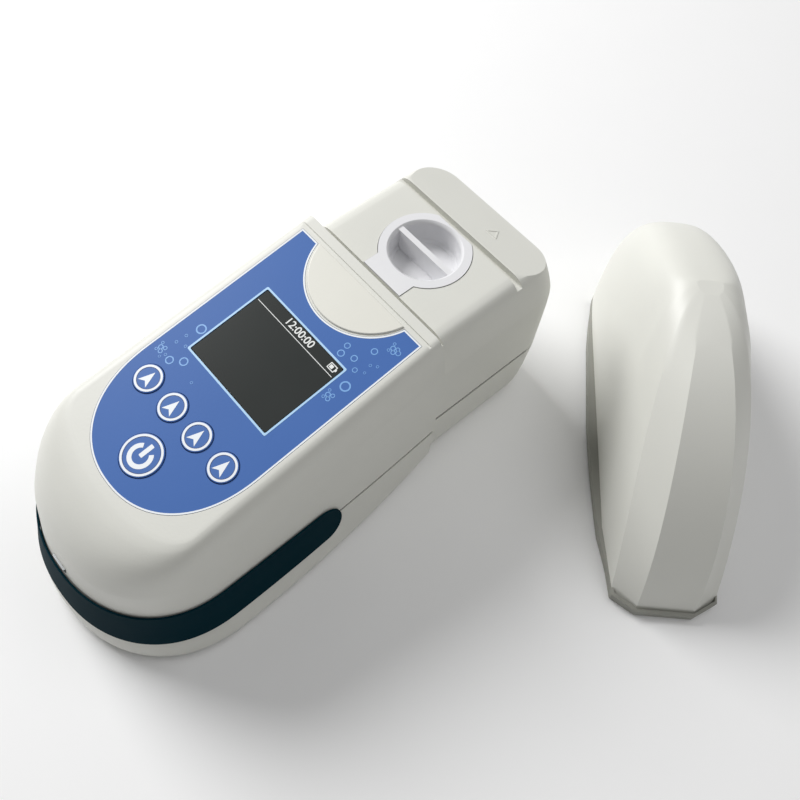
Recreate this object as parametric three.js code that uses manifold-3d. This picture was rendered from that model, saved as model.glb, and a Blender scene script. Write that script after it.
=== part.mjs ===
// Digital water tester: a desk-top photometer with a keypad and display in front,
// a vial well with a plug behind them, and a loose light shield standing beside it.
// Millimetres, +Z up. The front of the tester faces -Y and the user's right is +X.
import * as THREE from 'three';
import { mergeVertices } from 'three/addons/utils/BufferGeometryUtils.js';
import Module from 'manifold-3d';

const wasm = await Module();
wasm.setup();

// ---------------------------------------------------------------- driving dimensions
// The y = 0 line runs through the row of four soft keys, and z = 0 is the table.
const GAP = 0.3; // clearance between neighbouring pieces
const WALL = 2.2; // thickness of the moulded shells

const ROW_HEIGHT = 72; // height of the sloping panel at the row of soft keys
const PANEL_TILT = THREE.MathUtils.degToRad(9.25); // panel rises towards the rear
const STEP_Y = 83.5; // end of the front section
const NOSE_Y = -20; // where the sides turn into the rounded nose
const NOSE_POWER = 2.2; // exponent of the nose's superellipse
const REAR_Y = 150; // rear end of the tester
const DECK_HEIGHT = 80; // flat deck round the vial well
const REAR_CORNER = 14; // plan radius of the rear corners

const FRONT_SEAM = 24; // height of the seam between the shells, front section
const REAR_SEAM = 32; // and rear section
const SEAM_GAP = 1.8;

// Each level: half width at the nose and at the step, y of the nose tip.
// "z" levels are heights above the table, "drop" levels follow the sloping panel.
const FRONT_BOTTOM = [
  { z: 1.2, nose: 48.5, step: 39.6, tip: -64.6 },
  { z: 2.6, nose: 50.3, step: 41, tip: -66.6 },
  { z: 6, nose: 50.7, step: 41.4, tip: -67 },
  { z: 15, nose: 47.4, step: 41.4, tip: -64.6 },
  { z: FRONT_SEAM, nose: 45, step: 41.4, tip: -62.2 },
];
const FRONT_TOP = [
  { z: FRONT_SEAM, nose: 45, step: 41.4, tip: -62.2 },
  { z: 33, nose: 43.4, step: 41.4, tip: -59.8 },
  { drop: 17, nose: 42.4, step: 41.2, tip: -57 },
  { drop: 9, nose: 41, step: 39.9, tip: -52.6 },
  { drop: 4, nose: 39.4, step: 38.3, tip: -47.4 },
  { drop: 1.1, nose: 37.3, step: 36.7, tip: -41.2 },
  { drop: 0, nose: 34.9, step: 34.9, tip: -34.6 },
];
// Rear levels: height, half width and y of the rear end.
const REAR_BOTTOM = [
  { z: 1.2, half: 36.4, end: 144 },
  { z: 3, half: 38.4, end: 146.6 },
  { z: 8, half: 39.4, end: 148.6 },
  { z: REAR_SEAM, half: 40.6, end: REAR_Y },
];
const REAR_TOP = [
  { z: REAR_SEAM, half: 40.6, end: REAR_Y },
  { z: DECK_HEIGHT - 14, half: 40, end: 149.8 },
  { z: DECK_HEIGHT - 7, half: 37.8, end: 149.2 },
  { z: DECK_HEIGHT - 2.4, half: 34.4, end: 147.8 },
  { z: DECK_HEIGHT - 0.6, half: 32, end: 146 },
  { z: DECK_HEIGHT, half: 29, end: 143 },
];

const GROOVE = { front: STEP_Y + GAP, frontEnd: 87.4, rear: 125.4, rearEnd: 128.2, depth: 3 };
const REAR_SLOPE = { start: 129.2, angle: THREE.MathUtils.degToRad(17) };

// panel artwork: keys, display opening and badge
const KEY = { pitch: 14.7, radius: 5.6, hole: 5.9, proud: 0.5, stem: 1.6, travel: 0.4 };
const POWER = { y: -17.9, radius: 8, hole: 8.3 };
const SCREEN = { half: 21.9, low: 17.8, high: 52.8 };
const OVERLAY = { half: 33.4, rear: 78.4, tip: -32.2, noseY: 6.8, depth: 0.7 };
const BADGE = { y: 85, radius: 25.3 };

// vial well, plug and optics
const WELL = { y: 109.6, radius: 13.2, floor: 27 };
const PLUG = { flange: 18, earHalf: 10, cup: 15.6, inner: 13.4, depth: 12, bar: 2.4 };
const BLOCK = { half: 22, front: 19.5, rear: 15.5, bottom: 24.5, top: 76.5 };
const BEAM_HEIGHT = 42;

// grip band round the nose
const BAND = { low: 15, high: 32.6, inner: 0.3, outer: 1.2, end: 32 };

// underside
const CELL = { radius: 7.1, length: 50, pitch: 14.9, y: 114.5, z: 11.2 };
const COVER = { half: 31, front: 86.5, bottom: 1.6, top: 3.4, wall: 17.5 };
const FOOT = { radius: 3, frontX: 33, frontY: -22, rearX: 34, rearY: 96, top: 0.9 };

// light shield
const SHIELD = {
  near: 83.1, far: 77.8, width: 48, height: 81.7, lean: 22.6, wall: 2.4, x: 95.5, y: 167.4, turn: -45,
};

const COLOURS = {
  housing: 0xdcdcd4, insert: 0xf2f2f0, blue: 0x4a6fae, band: 0x04262d, rubber: 0x22262a,
  glass: 0x2c2f33, board: 0x1f5a36, metal: 0xa9adb0, black: 0x1a1b1d, cell: 0x34465c,
  white: 0xf4f5f5, ribbon: 0xb0763a, amber: 0xd8c27a,
};

// ---------------------------------------------------------------- solids and booleans
function toManifold(geometry) {
  const bare = geometry.clone();
  bare.deleteAttribute('normal');
  bare.deleteAttribute('uv');
  const merged = mergeVertices(bare, 1e-4);
  const vertProperties = Float32Array.from(merged.attributes.position.array);
  const triVerts = Uint32Array.from(merged.index.array);
  return new wasm.Manifold(new wasm.Mesh({ numProp: 3, vertProperties, triVerts }));
}

function toGeometry(body) {
  const { vertProperties, triVerts } = body.getMesh();
  const geometry = new THREE.BufferGeometry();
  geometry.setAttribute('position', new THREE.BufferAttribute(vertProperties, 3));
  geometry.setIndex(new THREE.BufferAttribute(triVerts, 1));
  geometry.computeVertexNormals();
  return geometry;
}

// Body through a stack of rings, listed upwards, each anticlockwise from above.
function loft(rings) {
  const count = rings[0].length;
  const positions = rings.flat().flatMap((p) => [p.x, p.y, p.z]);
  const index = [];
  for (let level = 0; level < rings.length - 1; level += 1) {
    for (let i = 0; i < count; i += 1) {
      const next = (i + 1) % count;
      const [a, b] = [level * count + i, level * count + next];
      const [c, d] = [a + count, b + count];
      index.push(a, b, d, a, d, c);
    }
  }
  const caps = [[rings[0], 0, false], [rings.at(-1), (rings.length - 1) * count, true]];
  for (const [ring, start, up] of caps) {
    const contour = ring.map((p) => new THREE.Vector2(p.x, p.y));
    for (const [a, b, c] of THREE.ShapeUtils.triangulateShape(contour, [])) {
      index.push(start + a, start + (up ? b : c), start + (up ? c : b));
    }
  }
  const geometry = new THREE.BufferGeometry();
  geometry.setAttribute('position', new THREE.Float32BufferAttribute(positions, 3));
  geometry.setIndex(index);
  return toManifold(geometry);
}

function block(low, high) {
  const [w, d, h] = [0, 1, 2].map((i) => high[i] - low[i]);
  const geometry = new THREE.BoxGeometry(w, d, h);
  geometry.translate((low[0] + high[0]) / 2, (low[1] + high[1]) / 2, (low[2] + high[2]) / 2);
  return toManifold(geometry);
}

// Solid of revolution about Z through (x, y), from [radius, height] pairs that start and
// end on the axis.
function turned(profile, x = 0, y = 0, segments = 24) {
  const points = profile.map(([r, z]) => new THREE.Vector2(r, z));
  const geometry = new THREE.LatheGeometry(points, segments);
  geometry.rotateX(Math.PI / 2);
  geometry.translate(x, y, 0);
  return toManifold(geometry);
}

function cylinder(radius, low, high, x = 0, y = 0, segments = 24) {
  return turned([[0, low], [radius, low], [radius, high], [0, high]], x, y, segments);
}

// Cylinder along X or Y between two coordinates.
function bar(axis, radius, from, to, centre, segments = 20) {
  const geometry = new THREE.CylinderGeometry(radius, radius, to - from, segments);
  if (axis === 'x') geometry.rotateZ(-Math.PI / 2);
  const middle = (from + to) / 2;
  const place = axis === 'x' ? [middle, centre[0], centre[1]] : [centre[0], middle, centre[1]];
  geometry.translate(...place);
  return toManifold(geometry);
}

function plate(shape, low, high, curveSegments = 4) {
  const options = { depth: high - low, bevelEnabled: false, curveSegments };
  const geometry = new THREE.ExtrudeGeometry(shape, options);
  geometry.translate(0, 0, low);
  return toManifold(geometry);
}

// ---------------------------------------------------------------- outlines of the housing
const panelHeight = (y) => ROW_HEIGHT + y * Math.tan(PANEL_TILT);

const SIDE_STEPS = 5;
const NOSE_STEPS = 22;

// Outline of the front section, widened by "grow", from the rear left round the nose.
function frontOutline({ nose, step, tip }, grow = 0, rear = STEP_Y) {
  const half = nose + grow;
  const side = [];
  for (let i = 0; i < SIDE_STEPS; i += 1) {
    const y = rear + ((NOSE_Y - rear) * i) / SIDE_STEPS;
    const s = (STEP_Y - y) / (STEP_Y - NOSE_Y);
    side.push([step + grow + (nose - step) * (1 - (1 - s) ** 2), y]);
  }
  const round = [];
  for (let i = 0; i <= NOSE_STEPS; i += 1) {
    const angle = (Math.PI * i) / NOSE_STEPS;
    const [c, s] = [Math.cos(angle), Math.max(0, Math.sin(angle))];
    const x = -half * Math.sign(c) * Math.abs(c) ** (2 / NOSE_POWER);
    round.push([x, NOSE_Y - (NOSE_Y - tip + grow) * s ** (2 / NOSE_POWER)]);
  }
  const left = side.map(([x, y]) => [-x, y]);
  return [...left, ...round, ...side.reverse()];
}

function frontRings(levels, grow = 0, rear = STEP_Y) {
  return levels.map((level) => frontOutline(level, grow, rear).map(([x, y]) => {
    const z = level.z ?? panelHeight(y) - level.drop;
    return new THREE.Vector3(x, y, z);
  }));
}

const CORNER_STEPS = 6;

function rearRings(levels, grow = 0, front = STEP_Y + GAP) {
  return levels.map(({ z, half, end }) => {
    const right = [[half + grow, front]];
    for (let i = 0; i <= CORNER_STEPS; i += 1) {
      const angle = (Math.PI / 2) * (i / CORNER_STEPS);
      const x = half + grow - REAR_CORNER * (1 - Math.cos(angle));
      right.push([x, end + grow - REAR_CORNER * (1 - Math.sin(angle))]);
    }
    const left = right.map(([x, y]) => [-x, y]).reverse();
    return [...right, ...left].map(([x, y]) => new THREE.Vector3(x, y, z));
  });
}

// ---------------------------------------------------------------- pieces on the sloping panel
const panelFrame = new THREE.Matrix4()
  .makeRotationX(PANEL_TILT)
  .setPosition(0, 0, ROW_HEIGHT);

// Panel pieces are drawn flat, with z = 0 on the panel's surface, then laid on it.
function ontoPanel(body) {
  return body.transform(panelFrame.toArray());
}

function roundedRectangle(x0, y0, x1, y1, r) {
  const shape = new THREE.Shape();
  shape.moveTo(x0 + r, y0);
  shape.lineTo(x1 - r, y0);
  shape.absarc(x1 - r, y0 + r, r, -Math.PI / 2, 0);
  shape.lineTo(x1, y1 - r);
  shape.absarc(x1 - r, y1 - r, r, 0, Math.PI / 2);
  shape.lineTo(x0 + r, y1);
  shape.absarc(x0 + r, y1 - r, r, Math.PI / 2, Math.PI);
  shape.lineTo(x0, y0 + r);
  shape.absarc(x0 + r, y0 + r, r, Math.PI, 1.5 * Math.PI);
  return shape;
}

// Outline of the blue overlay: straight sides, rounded nose, and a bay round the badge.
function overlayShape(grow = 0) {
  const half = OVERLAY.half + grow;
  const depth = OVERLAY.noseY - OVERLAY.tip + grow;
  const shape = new THREE.Shape();
  shape.moveTo(-half, OVERLAY.rear + grow);
  for (let i = 0; i <= NOSE_STEPS; i += 1) {
    const angle = (Math.PI * i) / NOSE_STEPS;
    const [c, s] = [Math.cos(angle), Math.max(0, Math.sin(angle))];
    const x = -half * Math.sign(c) * Math.abs(c) ** (2 / NOSE_POWER);
    shape.lineTo(x, OVERLAY.noseY - depth * s ** (2 / NOSE_POWER));
  }
  shape.lineTo(half, OVERLAY.rear + grow);
  const bay = BADGE.radius - grow;
  const reach = Math.asin((OVERLAY.rear + grow - BADGE.y) / bay);
  shape.absarc(0, BADGE.y, bay, reach, -Math.PI - reach, true);
  return shape;
}

const KEYS = [
  ...[0, 1, 2, 3].map((i) => ({ name: `soft_key_${i + 1}`, x: (i - 1.5) * KEY.pitch, y: 0, ...KEY })),
  { ...KEY, name: 'power_key', x: 0, ...POWER },
];

function keyHoles(low, high) {
  return KEYS.map(({ x, y, hole }) => cylinder(hole, low, high, x, y));
}

function keyCap({ x, y, radius, proud, stem }) {
  const profile = [
    [0, -6.4], [stem, -6.4], [stem, -1.6], [radius, -1.6],
    [radius, proud - 0.3], [radius - 0.4, proud], [0, proud],
  ];
  return ontoPanel(turned(profile, x, y));
}

function tactSwitch({ x, y }) {
  const body = block([x - 3, y - 3, -9.9], [x + 3, y + 3, -7.6]);
  return ontoPanel(body.add(cylinder(1.7, -8, -6.4 - GAP - KEY.travel, x, y, 20)));
}

function keypadOverlay() {
  let body = plate(overlayShape(), -OVERLAY.depth, 0, 16);
  for (const hole of keyHoles(-2, 1)) body = body.subtract(hole);
  const screen = roundedRectangle(-SCREEN.half, SCREEN.low, SCREEN.half, SCREEN.high, 0.8);
  return ontoPanel(body.subtract(plate(screen, -2, 1)));
}

function displayWindow() {
  const [half, low, high] = [SCREEN.half - GAP, SCREEN.low + GAP, SCREEN.high - GAP];
  return ontoPanel(plate(roundedRectangle(-half, low, half, high, 0.6), -1.6, -0.1));
}

function displayModule() {
  return ontoPanel(block([-19.5, 20, -5.4], [19.5, 50.8, -2.6]));
}

function displayFrame() {
  const outer = block([-24, 15.8, -6.2], [24, 55, -2.9]);
  const inner = block([-19.5 - GAP, 20 - GAP, -7], [19.5 + GAP, 50.8 + GAP, -2]);
  return ontoPanel(outer.subtract(inner));
}

function displayBoard() {
  const shape = roundedRectangle(-32, -28, 32, 62, 8);
  return ontoPanel(plate(shape, -11.8, -10.2));
}

// ---------------------------------------------------------------- shells
function frontTopShell() {
  const start = { ...FRONT_TOP[0], z: FRONT_SEAM + SEAM_GAP / 2 };
  const outer = loft(frontRings([start, ...FRONT_TOP.slice(1)]));
  const inside = FRONT_TOP.map((level) => (
    'drop' in level ? { ...level, drop: level.drop + WALL } : { ...level }));
  inside[0].z -= 1;
  let shell = outer.subtract(loft(frontRings(inside, -WALL, STEP_Y - WALL)));
  // way through the rear wall for the cables and boards
  shell = shell.subtract(block([-30, STEP_Y - 4, FRONT_SEAM], [30, STEP_Y + 1, 62]));
  // pocket for the overlay, with the key holes, the display opening and the ridge of the lip
  shell = shell.subtract(ontoPanel(plate(overlayShape(GAP), -OVERLAY.depth - GAP, 2, 16)));
  for (const hole of keyHoles(-6, 2)) shell = shell.subtract(hole.transform(panelFrame.toArray()));
  const opening = roundedRectangle(-SCREEN.half, SCREEN.low, SCREEN.half, SCREEN.high, 0.8);
  shell = shell.subtract(ontoPanel(plate(opening, -6, 2)));
  const ridge = block([-36.6, STEP_Y - 3.6, -0.5], [36.6, STEP_Y - 2.7, 1.5]);
  return shell.subtract(ontoPanel(ridge)).subtract(portOpening());
}

function rearTopCover() {
  const start = { ...REAR_TOP[0], z: REAR_SEAM + SEAM_GAP / 2 };
  const outer = loft(rearRings([start, ...REAR_TOP.slice(1)]));
  const inside = REAR_TOP.map((level) => ({ ...level, z: level.z - WALL }));
  inside[0].z = REAR_SEAM - 1;
  let shell = outer.subtract(loft(rearRings(inside, -WALL, STEP_Y + GAP + WALL)));
  // front wall is open below for the cables and boards
  shell = shell.subtract(block([-30, STEP_Y - 1, REAR_SEAM - 1], [30, STEP_Y + 4, 62]));
  // cross grooves for the rim of the light shield
  const grooveFloor = DECK_HEIGHT - GROOVE.depth;
  const across = (half, from, to, low, high) => block([-half, from, low], [half, to, high]);
  const bed = [37, grooveFloor - WALL, DECK_HEIGHT - 1];
  const under = across(bed[0], GROOVE.front + WALL, GROOVE.frontEnd + WALL, bed[1], bed[2])
    .add(across(bed[0], GROOVE.rear - WALL, GROOVE.rearEnd + WALL, bed[1], bed[2]));
  shell = shell.add(under.intersect(outer))
    .subtract(across(45, GROOVE.front - 1, GROOVE.frontEnd, grooveFloor, DECK_HEIGHT + 1))
    .subtract(across(45, GROOVE.rear, GROOVE.rearEnd, grooveFloor, DECK_HEIGHT + 1));
  // sloping tail behind the rear groove
  const tail = new THREE.BoxGeometry(100, 40, 20);
  tail.translate(0, 20, 10);
  tail.rotateX(-REAR_SLOPE.angle);
  tail.translate(0, REAR_SLOPE.start, DECK_HEIGHT);
  const tailCut = toManifold(tail);
  const tailInner = tailCut.translate(0, 0, -WALL).intersect(loft(rearRings(REAR_TOP, -0.5)));
  const tailHollow = loft(rearRings(inside, -WALL, STEP_Y)).translate(0, 0, -6);
  shell = shell.add(tailInner.subtract(tailHollow)).subtract(tailCut);
  // opening for the plug's flange and the vial
  return shell.subtract(plugFlange(GAP, DECK_HEIGHT - 2.4, DECK_HEIGHT + 1))
    .subtract(cylinder(PLUG.cup + 0.6, 60, DECK_HEIGHT + 1, 0, WELL.y));
}

function bottomShell() {
  const frontTop = { ...FRONT_BOTTOM.at(-1), z: FRONT_SEAM - SEAM_GAP / 2 };
  const rearTop = { ...REAR_BOTTOM.at(-1), z: REAR_SEAM - SEAM_GAP / 2 };
  const frontLevels = [...FRONT_BOTTOM.slice(0, -1), frontTop];
  const rearLevels = [...REAR_BOTTOM.slice(0, -1), rearTop];
  const rearBody = loft(rearRings(rearLevels, 0, STEP_Y - 1))
    .subtract(block([-60, STEP_Y - 2, FRONT_SEAM - SEAM_GAP / 2], [60, STEP_Y + GAP, 40]));
  let shell = loft(frontRings(frontLevels)).add(rearBody);
  const lift = (levels) => levels.map((level, i) => ({
    ...level, z: i === levels.length - 1 ? level.z + 6 : level.z + 2.6,
  }));
  const frontInside = loft(frontRings(lift(frontLevels), -WALL, STEP_Y - 1));
  const rearInside = loft(rearRings(lift(rearLevels), -WALL, STEP_Y - 4));
  shell = shell.subtract(frontInside).subtract(rearInside);
  // battery bay, open below and through the rear wall for the sliding cover
  const half = COVER.half + GAP;
  const bay = block([-half, COVER.front - GAP, 0], [half, REAR_Y + 5, COVER.top + GAP]);
  const mouth = block([-half, 141, 0], [half, REAR_Y + 5, COVER.wall + GAP]);
  return shell.subtract(bay).subtract(mouth);
}

// Sealing cord between the shells, seen as the dark line round the housing.
function seamGasket() {
  const [outer, inner] = [-0.5, -1.9];
  const ring = (grow, extra) => {
    const front = [FRONT_TOP[0], FRONT_TOP[0]].map((level, i) => ({
      ...level, z: FRONT_SEAM + (i ? 0.8 : -0.8) * extra,
    }));
    return loft(frontRings(front, grow, extra > 1 ? STEP_Y + 1 : STEP_Y - GAP));
  };
  return ring(outer, 1).subtract(ring(inner, 3));
}

function rearGasket() {
  const ring = (grow, extra) => {
    const rear = [REAR_BOTTOM.at(-1), REAR_BOTTOM.at(-1)].map((level, i) => ({
      ...level, z: REAR_SEAM + (i ? 0.8 : -0.8) * extra,
    }));
    return loft(rearRings(rear, grow, extra > 1 ? STEP_Y - 1 : STEP_Y + 2 * GAP));
  };
  return ring(-0.5, 1).subtract(ring(-1.9, 3));
}

function gripBand() {
  const levels = (grow, low, high) => {
    const seam = FRONT_BOTTOM.at(-1);
    const upper = { ...FRONT_TOP[1] };
    const s = (high - FRONT_SEAM) / (upper.z - FRONT_SEAM);
    const mix = (key) => seam[key] + (upper[key] - seam[key]) * s;
    const top = { z: high, nose: mix('nose'), step: mix('step'), tip: mix('tip') };
    const base = { ...FRONT_BOTTOM[3], z: low };
    return loft(frontRings([base, { ...base, z: BAND.low + 0.1 }, seam, top], grow, BAND.end + 6));
  };
  const ring = levels(BAND.outer, BAND.low, BAND.high)
    .subtract(levels(BAND.inner, BAND.low - 2, BAND.high + 0.4));
  // rounded ends
  const radius = (BAND.high - BAND.low) / 2;
  const middle = (BAND.high + BAND.low) / 2;
  const keep = block([-80, -80, 0], [80, BAND.end - radius, 60])
    .add(bar('x', radius, -80, 80, [BAND.end - radius, middle], 32));
  return ring.intersect(keep);
}

// ---------------------------------------------------------------- plug, optics and boards
function plugFlange(grow, low, high) {
  const disc = cylinder(PLUG.flange + grow, low, high, 0, WELL.y, 48);
  const half = PLUG.earHalf + grow;
  const ear = block([-half, GROOVE.frontEnd - 1, low], [half, WELL.y, high]);
  const [front, rear] = [GROOVE.frontEnd + GAP - grow, GROOVE.rear - GAP + grow];
  return disc.add(ear).intersect(block([-30, front, low - 1], [30, rear, high + 1]));
}

function wellPlug() {
  const top = DECK_HEIGHT + 0.4;
  let body = plugFlange(0, DECK_HEIGHT - 2, top);
  body = body.add(cylinder(PLUG.cup, DECK_HEIGHT - PLUG.depth, top, 0, WELL.y, 48));
  const floor = DECK_HEIGHT - PLUG.depth;
  const hollow = [[0, floor + 1.6], [PLUG.inner, floor + 1.6], [PLUG.inner, top - 1.2],
    [PLUG.inner + 1.2, top + 0.1], [0, top + 0.1]];
  body = body.subtract(turned(hollow, 0, WELL.y, 48));
  const [reach, thick] = [PLUG.inner + 0.8, PLUG.bar / 2];
  const grip = block([-reach, WELL.y - thick, floor + 1], [reach, WELL.y + thick, top - 0.3]);
  return body.add(grip);
}

function opticalBlock() {
  const [front, rear] = [WELL.y - BLOCK.front, WELL.y + BLOCK.rear];
  let body = block([-BLOCK.half, front, BLOCK.bottom], [BLOCK.half, rear, BLOCK.top]);
  body = body.subtract(cylinder(WELL.radius, WELL.floor, BLOCK.top + 1, 0, WELL.y));
  const seat = DECK_HEIGHT - PLUG.depth - 0.6;
  body = body.subtract(cylinder(PLUG.cup + 0.5, seat, BLOCK.top + 1, 0, WELL.y, 48));
  for (const side of [-1, 1]) {
    const [from, to] = side < 0 ? [-BLOCK.half - 1, -10] : [10, BLOCK.half + 1];
    body = body.subtract(bar('x', 2.8, from, to, [WELL.y, BEAM_HEIGHT]));
  }
  const grooves = block([-40, 80, 74], [40, GROOVE.frontEnd + WALL + 0.5, 90])
    .add(block([-40, GROOVE.rear - WALL - 0.5, 74], [40, 140, 90]));
  return body.subtract(grooves);
}

const LED = { low: -BLOCK.half - 6, high: -16 };

const ledSource = () => bar('x', 2.5, LED.low, LED.high, [WELL.y, BEAM_HEIGHT])
  .add(bar('x', 3.6, LED.low, -BLOCK.half - GAP, [WELL.y, BEAM_HEIGHT]));
const filterDisc = () => bar('x', 2.5, 14.4, 16.4, [WELL.y, BEAM_HEIGHT]);
const photodiode = () => bar('x', 2.5, 18, BLOCK.half + 0.4, [WELL.y, BEAM_HEIGHT])
  .add(bar('x', 4, BLOCK.half + GAP, BLOCK.half + 3, [WELL.y, BEAM_HEIGHT]));
const detectorBoard = () => block([BLOCK.half + 3.3, WELL.y - 12, 28], [BLOCK.half + 4.9, WELL.y + 12, 54]);
const sourceBoard = () => block([LED.low - 1.9, WELL.y - 12, 28], [LED.low - GAP, WELL.y + 12, 54]);

function mainBoard() {
  return plate(roundedRectangle(-30, -40, 30, 78, 14), 17, 18.6);
}

const controller = () => block([-9, 8, 18.9], [9, 26, 21.2]);
const buzzer = () => cylinder(7, 18.9, 25.5, 16, 52);

// Connector on the board's front edge, reached through the nose.
const PORT = { half: 4, z: 36 };

function portOpening() {
  return block([-PORT.half, -70, PORT.z - 1.6], [PORT.half, -50, PORT.z + 1.6]);
}

function chargePort() {
  const shell = block([-PORT.half + GAP, -59.6, PORT.z - 1.3], [PORT.half - GAP, -49, PORT.z + 1.3]);
  const mouth = block([-PORT.half + 1, -61, PORT.z - 0.6], [PORT.half - 1, -53, PORT.z + 0.6]);
  return shell.subtract(mouth);
}

// Flat cable, bent from the display board down to the main board.
function ribbonCable() {
  const top = panelHeight(60) - 12.6;
  const points = [[64, top], [70, top - 6], [70, 28], [66, 22], [66, 19.2]]
    .map(([y, z]) => new THREE.Vector3(0, y, z));
  const curve = new THREE.CatmullRomCurve3(points, false, 'centripetal');
  const strip = new THREE.Shape();
  const [w, t] = [7, 0.2];
  strip.moveTo(-t, -w).lineTo(t, -w).lineTo(t, w).lineTo(-t, w);
  const along = { steps: 14, bevelEnabled: false, extrudePath: curve };
  return toManifold(new THREE.ExtrudeGeometry(strip, along));
}

// ---------------------------------------------------------------- power supply and underside
const CELL_OFFSETS = [-1.5, -0.5, 0.5, 1.5];

function cell(i) {
  const [half, nub] = [CELL.length / 2, 1.2];
  const x = CELL_OFFSETS[i] * CELL.pitch;
  const turnedRound = i % 2 ? -1 : 1;
  const [from, to] = [CELL.y - half, CELL.y + half];
  const tip = turnedRound > 0 ? [to - 0.2, to + nub] : [from - nub, from + 0.2];
  return bar('y', CELL.radius, from, to, [x, CELL.z]).add(bar('y', 2.7, ...tip, [x, CELL.z], 16));
}

function contactStrip(y) {
  return block([-30, y - 0.25, 5], [30, y + 0.25, 17.4]);
}

function cellTray() {
  const outer = block([-31.4, CELL.y - 29.2, 19.4], [31.4, CELL.y + 27.6, 21]);
  const front = block([-31.4, CELL.y - 29.2, 4.4], [31.4, CELL.y - 27.6, 19.6]);
  return outer.add(front);
}

function batteryCover() {
  const half = COVER.half;
  const floor = block([-half, COVER.front, COVER.bottom], [half, 146, COVER.top]);
  // the tail carries on the rear wall of the housing
  const keep = block([-half, 144.4, COVER.bottom], [half, 160, COVER.wall]);
  const tail = loft(rearRings(REAR_BOTTOM)).intersect(keep);
  return floor.add(tail).subtract(gripRidges());
}

function gripRidges() {
  let cuts = block([-9, 128, 0.5], [9, 129, COVER.bottom + 0.5]);
  for (let i = 1; i < 5; i += 1) {
    const y = 128 + 2.4 * i;
    cuts = cuts.add(block([-9, y, 0.5], [9, y + 1, COVER.bottom + 0.5]));
  }
  return cuts;
}

const FEET = [
  { name: 'foot_front_left', x: -FOOT.frontX, y: FOOT.frontY },
  { name: 'foot_front_right', x: FOOT.frontX, y: FOOT.frontY },
  { name: 'foot_rear_left', x: -FOOT.rearX, y: FOOT.rearY },
  { name: 'foot_rear_right', x: FOOT.rearX, y: FOOT.rearY },
];

function foot({ x, y }) {
  const { radius, top } = FOOT;
  return turned([[0, 0], [radius - 0.3, 0], [radius, 0.3], [radius, top], [0, top]], x, y, 20);
}

// Screws that clamp the top shells to the bottom shell.
const SCREWS = [[-37, 20], [37, 20], [-33, 68], [33, 68]];

function housingScrew([x, y]) {
  return turned([[0, 4.4], [3, 4.4], [3, 6.4], [1.4, 6.4], [1.4, 20], [0, 20]], x, y, 16);
}

// ---------------------------------------------------------------- light shield
// Arched hood, open below. Its plan draws in and leans back towards the roof; the near end is a
// flat sloping wall with two facets on each side of it, and the far end is rounded.
function shieldPlan(s) {
  const wall = [1 - 0.087 * s, 0.487];
  const edge = [0.928 - 0.362 * s, 0.887];
  const side = [0.63 - 0.42 * s, 1];
  const corners = [wall, edge, side, [0, 1]];
  const flank = corners.slice(0, -1).flatMap(([x, y], i) => [0, 1 / 3, 2 / 3].map((share) => [
    x + (corners[i + 1][0] - x) * share, y + (corners[i + 1][1] - y) * share,
  ]));
  const power = 2.6 + 5.3 * (1 - s) ** 2.2;
  for (let k = 0; k < 9; k += 1) {
    const angle = (Math.PI / 2) * (k / 9);
    flank.push([-(Math.sin(angle) ** (2 / power)), Math.cos(angle) ** (2 / power)]);
  }
  const mirrored = flank.map(([x, y]) => [x, -y]).reverse();
  return [[wall[0], 0], ...flank, [-1, 0], ...mirrored];
}

function shieldRings(grow, top) {
  const levels = 10;
  const rings = [];
  for (let i = 0; i <= levels; i += 1) {
    const s = Math.min(Math.sin((Math.PI / 2) * (i / levels)), 0.997);
    const near = (SHIELD.near + grow) * (1 - s ** 2.316) ** 0.523;
    const far = (SHIELD.far + grow) * (1 - s ** 3.627) ** 0.957;
    const halfWidth = (SHIELD.width / 2 + grow) * (1 - s ** 3.723) ** 0.346;
    rings.push(shieldPlan(s).map(([x, y]) => (
      new THREE.Vector3(x * (x > 0 ? near : far) - SHIELD.lean * s, y * halfWidth, top * s))));
  }
  return rings;
}

function lightShield() {
  const outer = loft(shieldRings(0, SHIELD.height));
  const inner = loft(shieldRings(-SHIELD.wall, SHIELD.height - SHIELD.wall)).translate(0, 0, -0.01);
  return outer.subtract(inner).subtract(block([-90, -60, -5], [90, 60, 0.0001]));
}

// ---------------------------------------------------------------- assembly
const tester = new THREE.Group();

function add(name, body, colour, roughness = 0.5, metalness = 0, parent = tester) {
  const material = new THREE.MeshStandardMaterial({ color: colour, roughness, metalness });
  const mesh = new THREE.Mesh(toGeometry(body), material);
  mesh.name = name;
  parent.add(mesh);
  return mesh;
}

add('bottom_shell', bottomShell(), COLOURS.housing, 0.45);
add('front_top_shell', frontTopShell(), COLOURS.housing, 0.45);
add('rear_top_cover', rearTopCover(), COLOURS.housing, 0.45);
add('seam_gasket_front', seamGasket(), COLOURS.black, 0.8);
add('seam_gasket_rear', rearGasket(), COLOURS.black, 0.8);
add('grip_band', gripBand(), COLOURS.band, 0.35);

add('keypad_overlay', keypadOverlay(), COLOURS.blue, 0.4);
for (const key of KEYS) {
  add(key.name, keyCap(key), COLOURS.blue, 0.4);
  add(key.name.replace('key', 'switch'), tactSwitch(key), COLOURS.black, 0.5);
}
add('display_window', displayWindow(), COLOURS.glass, 0.1);
add('display_module', displayModule(), COLOURS.black, 0.3);
add('display_frame', displayFrame(), COLOURS.metal, 0.35, 0.8);
add('display_board', displayBoard(), COLOURS.board, 0.6);
add('ribbon_cable', ribbonCable(), COLOURS.ribbon, 0.5);

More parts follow.
